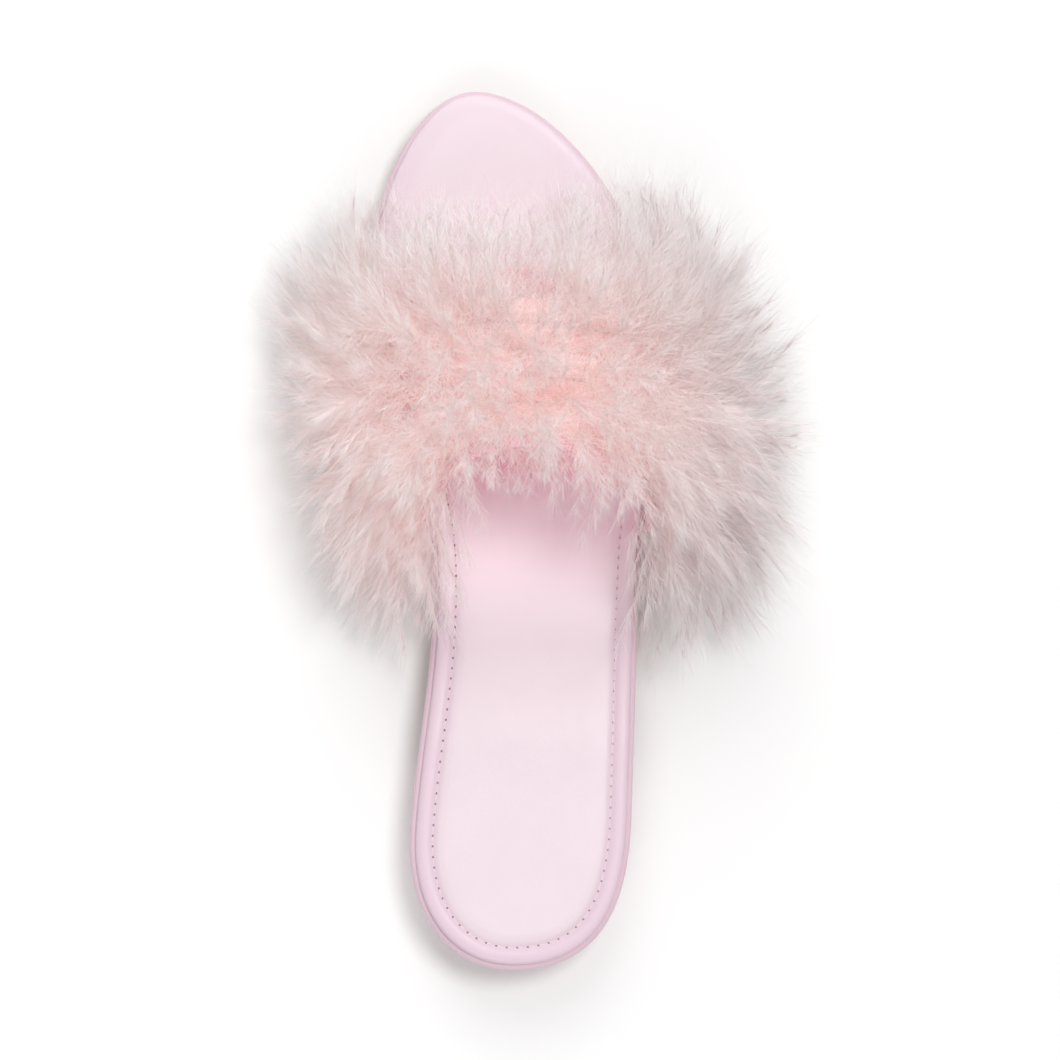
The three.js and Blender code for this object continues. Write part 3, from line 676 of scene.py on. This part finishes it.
def strap_stops():
    """Stops from the inner lasted end over the last to the outer one: side, drawn in, down, turn."""
    lasted = [(LASTING_MARGIN * share, 90) for share in (1, 0.66, 0.33, 0)]
    lasted += [(0, down) for down in (67, 45, 22, 0)]
    inner = [(-1, drawn_in, down, math.pi) for drawn_in, down in lasted]
    outer = [(1, drawn_in, down, 0.0) for drawn_in, down in reversed(lasted)]
    arch = [(0, 0, 0, turn) for turn in np.linspace(math.pi, 0, ARCH_STEPS + 1)]
    return inner + arch + outer


def strap_span(turn):
    """Where the strap starts and ends along the shoe at that turn of the last's section."""
    crown = np.abs(np.sin(turn)) ** CROWN_POWER
    rear = SIDE_REAR + crown * (CROWN_REAR - SIDE_REAR)
    front = SIDE_FRONT + crown * (CROWN_FRONT - SIDE_FRONT)
    return rear, front


def strap_section(stop):
    """The loop round the wall at that stop: inner face, folded front, outer face, folded rear."""
    rear, front = strap_span(stop[3])
    fold = STRAP_WALL / 2
    turns = np.linspace(-math.pi / 2, math.pi / 2, FOLD_POINTS)
    flat = np.linspace(rear + fold, front - fold, FACE_POINTS)
    y = [flat, front - fold + fold * np.cos(turns), flat[::-1], rear + fold - fold * np.cos(turns)]
    out = [0 * flat, fold + fold * np.sin(turns), 0 * flat + STRAP_WALL, fold - fold * np.sin(turns)]
    return strap_point(stop, np.concatenate(y), np.concatenate(out))


def tube(rings):
    """Points and faces of a closed form swept through those rings of equally many points."""
    rings = np.array(rings)
    count, sides = rings.shape[:2]
    number = np.arange(count * sides).reshape(count, sides)
    following = np.roll(number, -1, 1)
    walls = np.stack([number[:-1], following[:-1], following[1:], number[1:]], -1).reshape(-1, 4)
    return rings.reshape(-1, 3), [*walls.tolist(), number[0, ::-1].tolist(), number[-1].tolist()]


strap = mesh_object(
    "strap_wall",
    *tube([strap_section(stop) for stop in strap_stops()]),
    leather("strap_leather", STRAP_DYE_AND_SHADE_COLOUR, 0.42),
)
seat(strap, "strap", "strap")

# Marabou
# Strings of down laid side by side from hem to hem and sewn through the strap. Each is made of
# small plumes with a fine quill and soft barbs all round it, dyed deepest at the root and palest
# at the tips. The front string spreads over the toes and the rear one hangs over the foot.
DOWN_REACH = 0.08
DOWN_LIFT = 0.05
DOWN_DROOP = 0.009
DROOP_REACH = 0.02
HEEL_FLARE = 0.35
STRAP_HEM = 0.08
FRONT_INSET, REAR_INSET = 0.014, 0.008
FLOOR_CLEARANCE = 0.002
DOWN_AROUND = [0, 0.12, 0.3, 0.48, 0.68, 0.88, 1]
down_middle = curve(DOWN_AROUND, [0.605, 0.612, 0.65, 0.685, 0.655, 0.612, 0.6])
down_front = curve(DOWN_AROUND, [0.9, 0.98, 0.83, 0.65, 0.89, 1.05, 0.94])
down_rear = curve(DOWN_AROUND, [0.9, 0.95, 0.78, 0.6, 0.84, 1.02, 0.94])
down_lift = curve(DOWN_AROUND, [0.68, 0.76, 0.77, 0.74, 0.82, 0.88, 0.8])
# where each string's plumes point, as shares of the way from the toe over the top to the heel
STRING_FANS = [0.08, 0.3, 0.55, 0.78, 0.93]
ROWS = len(STRING_FANS)
PLUMES = 209
HEM_CROWDING = 0.08  # the share by which plumes stand closer at the hems
FAN_SCATTER, FAN_LIMITS = 0.14, (-0.04, 1.06)
ROOT_SCATTER = 0.003
TUFTS = 11
TUFT_SHIFT, TIP_SCATTER = 0.012, 0.014  # shares of the way from hem to hem
QUILL_SHARE = 0.88  # of the down's reach, the rest is barbs
SHORTEST_QUILL, SHORTEST_FRONT_QUILL = 0.62, 0.72
QUILL_BEND, QUILL_SCATTER = 0.16, 0.08  # shares of the quill
SCATTER_LIMIT = 1.9
BARBS = 90
BARB_GIRTH, BARB_STEPS = 0.00006, 2
BARB_SHARES = (0.5, 0.23)  # of the quill's length, at its root and at its tip
GIRTH_CHANCE, LENGTH_CHANCE = (0.7, 0.6), (0.6, 0.6)  # the least, and what chance adds
TIP_CROWDING = 0.9  # a power of chance: below 1, the barbs crowd to the tip
BARB_LEANS = (78, 28)  # degrees from the quill, at its root and at its tip
BARB_LEAN_SCATTER = 12
OUTWARD = 1.8  # how far a barb that grows into the strap is turned back
BARB_CURL, CURL_SCATTER = 0.2, 0.15  # shares of the barb
BARB_SAG = 0.0012
ROOT_COLOUR = colour(250, 231, 230)
SALMON_COLOUR = colour(248, 230, 228)
MIDDLE_COLOUR = colour(246, 238, 238)
TIP_COLOUR = colour(237, 235, 234)
DYE_STOPS = [(0.0, ROOT_COLOUR), (0.36, SALMON_COLOUR), (0.7, MIDDLE_COLOUR), (1.0, TIP_COLOUR)]
OUTER_SHADE_COLOUR = colour(239, 231, 231)  # painted shade on the outer side's down
ROOT_GLOW = colour(252, 212, 207)
TIP_GLOW = colour(167, 161, 161)
# a dimmer painted glow, for the painted shade on the outer side
OUTER_SHADE_GLOW = colour(141, 134, 134)
GLOW_STRENGTH = 0.2  # painted glow, standing in for the light that down lets through
DYE_BEGINS = (0, 0.62)  # a barb's root on the scale of dyes, at the quill's root and tip
DYE_GAINS = (0.28, 0.64)  # and how much further along it the barb's tip lies
PALE_CHANCE, PAINTED_FRONT_LIGHT = 0.25, 0.6  # how pale a plume is by chance, and the painted light on it towards the toe
OUTER_SHADE_FROM, OUTER_SHADE_RATE = 0.6, 2.6  # where the painted shade on the outer side begins, and how fast it grows


def strap_turn(around):
    """The last's turn at that share of the way from the inner hem to the outer one."""
    return math.pi * (1 - np.clip((around - STRAP_HEM) / (1 - 2 * STRAP_HEM), 0, 1))


def quill_point(around, y):
    """A point on the strap's face and its normal, around from the inner hem (0) to the outer (1)."""
    x, z, nx, nz = last_point(y, strap_turn(around))
    past = np.clip(np.maximum(STRAP_HEM - around, around - (1 - STRAP_HEM)) / STRAP_HEM, 0, 1)
    low = tread(y) + BED_BASE + 2 * STRAP_WALL
    z = z * (1 - past) + low * past
    normal = np.stack([nx, 0 * nx, nz], -1)
    return np.stack([x, y + HEEL_BACK, z], -1) + STRAP_WALL * normal, normal


def down_tip(around, fan, reach):
    """Where down of that reach ends: fan is 0 towards the toe, pi / 2 straight out, pi to the heel."""
    along = np.where(np.cos(fan) >= 0, down_front(around), down_rear(around))
    y = down_middle(around) * LENGTH + DOWN_REACH * along * np.cos(fan) * reach
    held = np.clip(y, *strap_span(strap_turn(around)))  # past the strap's edges it droops
    root, normal = quill_point(around, held)
    flare = 1 + HEEL_FLARE * np.maximum(-np.cos(fan), 0)
    out = DOWN_LIFT * down_lift(around) * np.sin(fan) * reach * flare
    tip = root + out[:, None] * normal
    tip[:, 1] += y - held
    tip[:, 2] -= DOWN_DROOP * ((y - held) / DROOP_REACH) ** 2 * np.maximum(normal[:, 2], 0)
    return tip


def string_y(row, around):
    """Where that string of down lies along the shoe, from the front one (0) to the rear one."""
    rear, front = strap_span(strap_turn(around))
    return front - FRONT_INSET + (rear - front + FRONT_INSET + REAR_INSET) * row / (ROWS - 1)


tree, given = geometry_tree("plumes", Girth="Float", Steps="Int", Material="Material")
cone = tree.node(
    "GeometryNodeMeshCone", {"fill_type": "NGON"},
    Vertices=3, Side_Segments=given["Steps"], Fill_Segments=1, Radius_Top=0, Radius_Bottom=1, Depth=1,
)
height = tree.node("ShaderNodeSeparateXYZ", Vector=tree.node("GeometryNodeInputPosition").outputs[0])
barb = tree.node(
    "GeometryNodeStoreNamedAttribute", {"data_type": "FLOAT", "domain": "POINT"},
    Geometry=cone.outputs["Mesh"], Name="along", Value=height.outputs["Z"],
)


def attribute(tree, name, kind):
    """The socket that reads what the points keep under that name."""
    return tree.node("GeometryNodeInputNamedAttribute", {"data_type": kind}, Name=name).outputs[0]


aim = attribute(tree, "aim", "FLOAT_VECTOR")
turned = tree.node("FunctionNodeAlignRotationToVector", {"axis": "Z"}, Vector=aim)
long = tree.node("ShaderNodeVectorMath", {"operation": "LENGTH"}, Vector=aim).outputs["Value"]
wide = Value(tree, attribute(tree, "girth", "FLOAT")) * Value(tree, given["Girth"])
size = tree.node("ShaderNodeCombineXYZ", X=wide, Y=wide, Z=long)
barbs = tree.node(
    "GeometryNodeInstanceOnPoints",
    Points=given["Geometry"], Instance=barb.outputs[0], Rotation=turned.outputs[0], Scale=size.outputs[0],
)
real = tree.node("GeometryNodeRealizeInstances", Geometry=barbs.outputs[0])
share = Value(tree, attribute(tree, "along", "FLOAT"))
curl = tree.node(
    "ShaderNodeVectorMath", {"operation": "SCALE"},
    Vector=attribute(tree, "curl", "FLOAT_VECTOR"), Scale=share**2,
)
placed = tree.node("GeometryNodeSetPosition", Geometry=real.outputs[0], Offset=curl.outputs[0])
dyed = tree.node("GeometryNodeSetMaterial", Geometry=placed.outputs[0], Material=given["Material"])
tree.node("NodeGroupOutput", Geometry=dyed.outputs[0])
plume_tree = tree.tree

paint, surface, down_finish = new_finish("down")
shade = stored(paint, "begin") + stored(paint, "gain") * stored(paint, "along")
dusk = stored(paint, "dusk")
dye = paint.node("ShaderNodeValToRGB", {"stops": DYE_STOPS}, Fac=shade).outputs[0]
# the down's dye, with painted light towards the toe and painted shade on the outer side
down_dye_light_and_shade = blended(paint, dusk, blended(paint, stored(paint, "tone"), dye, TIP_COLOUR), OUTER_SHADE_COLOUR)
# painted glow of the down, deepest pink at the root, dimmer at the tips and on the outer side
painted_down_glow = blended(paint, dusk, blended(paint, shade, ROOT_GLOW, TIP_GLOW), OUTER_SHADE_GLOW)
paint.tree.links.new(down_dye_light_and_shade, surface.inputs["Base Color"])
paint.tree.links.new(painted_down_glow, surface.inputs["Emission Color"])
surface.inputs["Emission Strength"].default_value = GLOW_STRENGTH
surface.inputs["Roughness"].default_value = 0.75
surface.inputs["Specular IOR Level"].default_value = 0.2


def scatter(rng, *shape):
    """Chance values round 0, none of them far out."""
    return np.clip(rng.standard_normal(shape), -SCATTER_LIMIT, SCATTER_LIMIT)


def chance(rng, least, more, *shape):
    """Chance values from least up to least + more."""
    return least + more * rng.random(shape)


def string_plumes(row, rng):
    """One string's plumes: where they are from hem to hem, where they point, and their bent quills."""
    spread = (np.arange(PLUMES) + rng.random(PLUMES)) / PLUMES
    spread -= HEM_CROWDING * np.sin(2 * math.pi * spread) / (2 * math.pi)
    fan = math.pi * np.clip(STRING_FANS[row] + FAN_SCATTER * scatter(rng, PLUMES), *FAN_LIMITS)
    root, normal = quill_point(spread, string_y(row, spread) + ROOT_SCATTER * scatter(rng, PLUMES))
    tufts = np.sin(2 * math.pi * (TUFTS * spread + rng.random()))
    ends = np.clip(spread + TUFT_SHIFT * tufts + TIP_SCATTER * scatter(rng, PLUMES), 0, 1)
    shortest = SHORTEST_QUILL if row else SHORTEST_FRONT_QUILL
    tip = down_tip(ends, fan, QUILL_SHARE * chance(rng, shortest, 1 - shortest, PLUMES))
    way = tip - root
    long = np.linalg.norm(way, axis=1)[:, None]
    knee = root + 0.5 * way + (QUILL_BEND * normal + QUILL_SCATTER * scatter(rng, PLUMES, 3)) * long
    return dict(spread=spread, fan=fan, normal=normal, root=root, knee=knee, tip=tip, long=long)


def down_row(row, rng):
    """The points that one string's barbs grow from, with each barb's aim, curl, girth, dye, painted light and
    painted shade.
    """
    count = PLUMES * BARBS
    plumes = string_plumes(row, rng)
    normal, root, knee, tip, long = (
        np.repeat(plumes[key], BARBS, axis=0) for key in ("normal", "root", "knee", "tip", "long")
    )
    t = rng.random(count)[:, None] ** TIP_CROWDING

    def graded(at_root, at_tip):
        return at_root + (at_tip - at_root) * t

    start = (1 - t) ** 2 * root + 2 * t * (1 - t) * knee + t * t * tip
    ahead = (1 - t) * (knee - root) + t * (tip - knee)
    ahead /= np.linalg.norm(ahead, axis=1)[:, None]
    across = np.cross(ahead, scatter(rng, count, 3))
    inward = np.minimum((across * normal).sum(1), 0)[:, None]
    across -= OUTWARD * inward * normal
    across /= np.linalg.norm(across, axis=1)[:, None]
    lean = np.radians(graded(*BARB_LEANS) + BARB_LEAN_SCATTER * scatter(rng, count, 1))
    size = long * graded(*BARB_SHARES) * chance(rng, *LENGTH_CHANCE, count, 1)
    aim = size * (np.cos(lean) * ahead + np.sin(lean) * across)
    curl = size * (BARB_CURL * ahead + CURL_SCATTER * scatter(rng, count, 3)) - (0, 0, BARB_SAG)
    # none below the floor
    start[:, 2] = np.maximum(start[:, 2], FLOOR_CLEARANCE)
    aim[:, 2] = np.maximum(aim[:, 2], FLOOR_CLEARANCE - start[:, 2])
    curl[:, 2] = np.maximum(curl[:, 2], FLOOR_CLEARANCE - (start + aim)[:, 2])
    girth = chance(rng, *GIRTH_CHANCE, count)
    # paler by chance, and painted lighter on plumes that point to the toe
    tone = chance(rng, 0, PALE_CHANCE, PLUMES) + PAINTED_FRONT_LIGHT * np.clip(np.cos(plumes["fan"]), 0, 1)
    # painted shade, growing towards the outer hem
    dusk = np.clip(OUTER_SHADE_RATE * (plumes["spread"] - OUTER_SHADE_FROM), 0, 1)
    mesh = bpy.data.meshes.new("quills")
    mesh.from_pydata(start.tolist(), [], [])
    for name, values in (
        ("aim", aim),
        ("curl", curl),
        ("girth", girth),
        ("begin", graded(*DYE_BEGINS)),
        ("gain", graded(*DYE_GAINS)),
        ("tone", np.repeat(tone, BARBS)),
        ("dusk", np.repeat(dusk, BARBS)),
    ):
        vector = np.ndim(values) == 2 and np.shape(values)[1] == 3
        kind, field = ("FLOAT_VECTOR", "vector") if vector else ("FLOAT", "value")
        mesh.attributes.new(name, kind, "POINT").data.foreach_set(field, np.float32(values).ravel())
    return mesh


rng = np.random.default_rng(7)
for row in range(ROWS):
    string = grown(
        f"marabou_row_{row + 1}", down_row(row, rng), plume_tree,
        Girth=BARB_GIRTH, Steps=BARB_STEPS, Material=down_finish,
    )
    seat(string, "marabou", *(["marabou"] if row == 0 else []))

# Underdown
# The short fluff at the foot of the plumes, matted into a soft flat roll round each string, in
# the down's deepest dye. The rolls lie side by side on the strap's face.
UNDERDOWN_WIDTH, UNDERDOWN_HEIGHT = 0.0092, 0.0036
UNDERDOWN_STEPS, UNDERDOWN_SIDES = 60, 8
UNDERDOWN_COLOUR = colour(239, 197, 194)


def underdown_rings(row):
    """The rings of the roll round one string."""
    around = np.linspace(0, 1, UNDERDOWN_STEPS + 1)
    face, normal = quill_point(around, string_y(row, around))
    middle = face + UNDERDOWN_HEIGHT / 2 * normal
    ahead = np.gradient(middle, axis=0)
    side = np.cross(ahead / np.linalg.norm(ahead, axis=1)[:, None], normal)
    turns = 2 * math.pi * np.arange(UNDERDOWN_SIDES) / UNDERDOWN_SIDES
    high = UNDERDOWN_HEIGHT / 2 * np.cos(turns)[:, None] * normal[:, None]
    wide = UNDERDOWN_WIDTH / 2 * np.sin(turns)[:, None] * side[:, None]
    return middle[:, None] + high + wide


def joined(forms):
    """Points and faces of several closed forms as one."""
    points, faces, count = [], [], 0
    for form_points, form_faces in forms:
        points.append(form_points)
        faces += [[count + number for number in face] for face in form_faces]
        count += len(form_points)
    return np.concatenate(points), faces


paint, surface, underdown_finish = new_finish("underdown")
surface.inputs["Base Color"].default_value = UNDERDOWN_COLOUR
surface.inputs["Roughness"].default_value = 1.0
rolls = [tube(underdown_rings(row)) for row in range(ROWS)]
underdown = mesh_object("underdown", *joined(rolls), underdown_finish)
seat(underdown, "marabou")
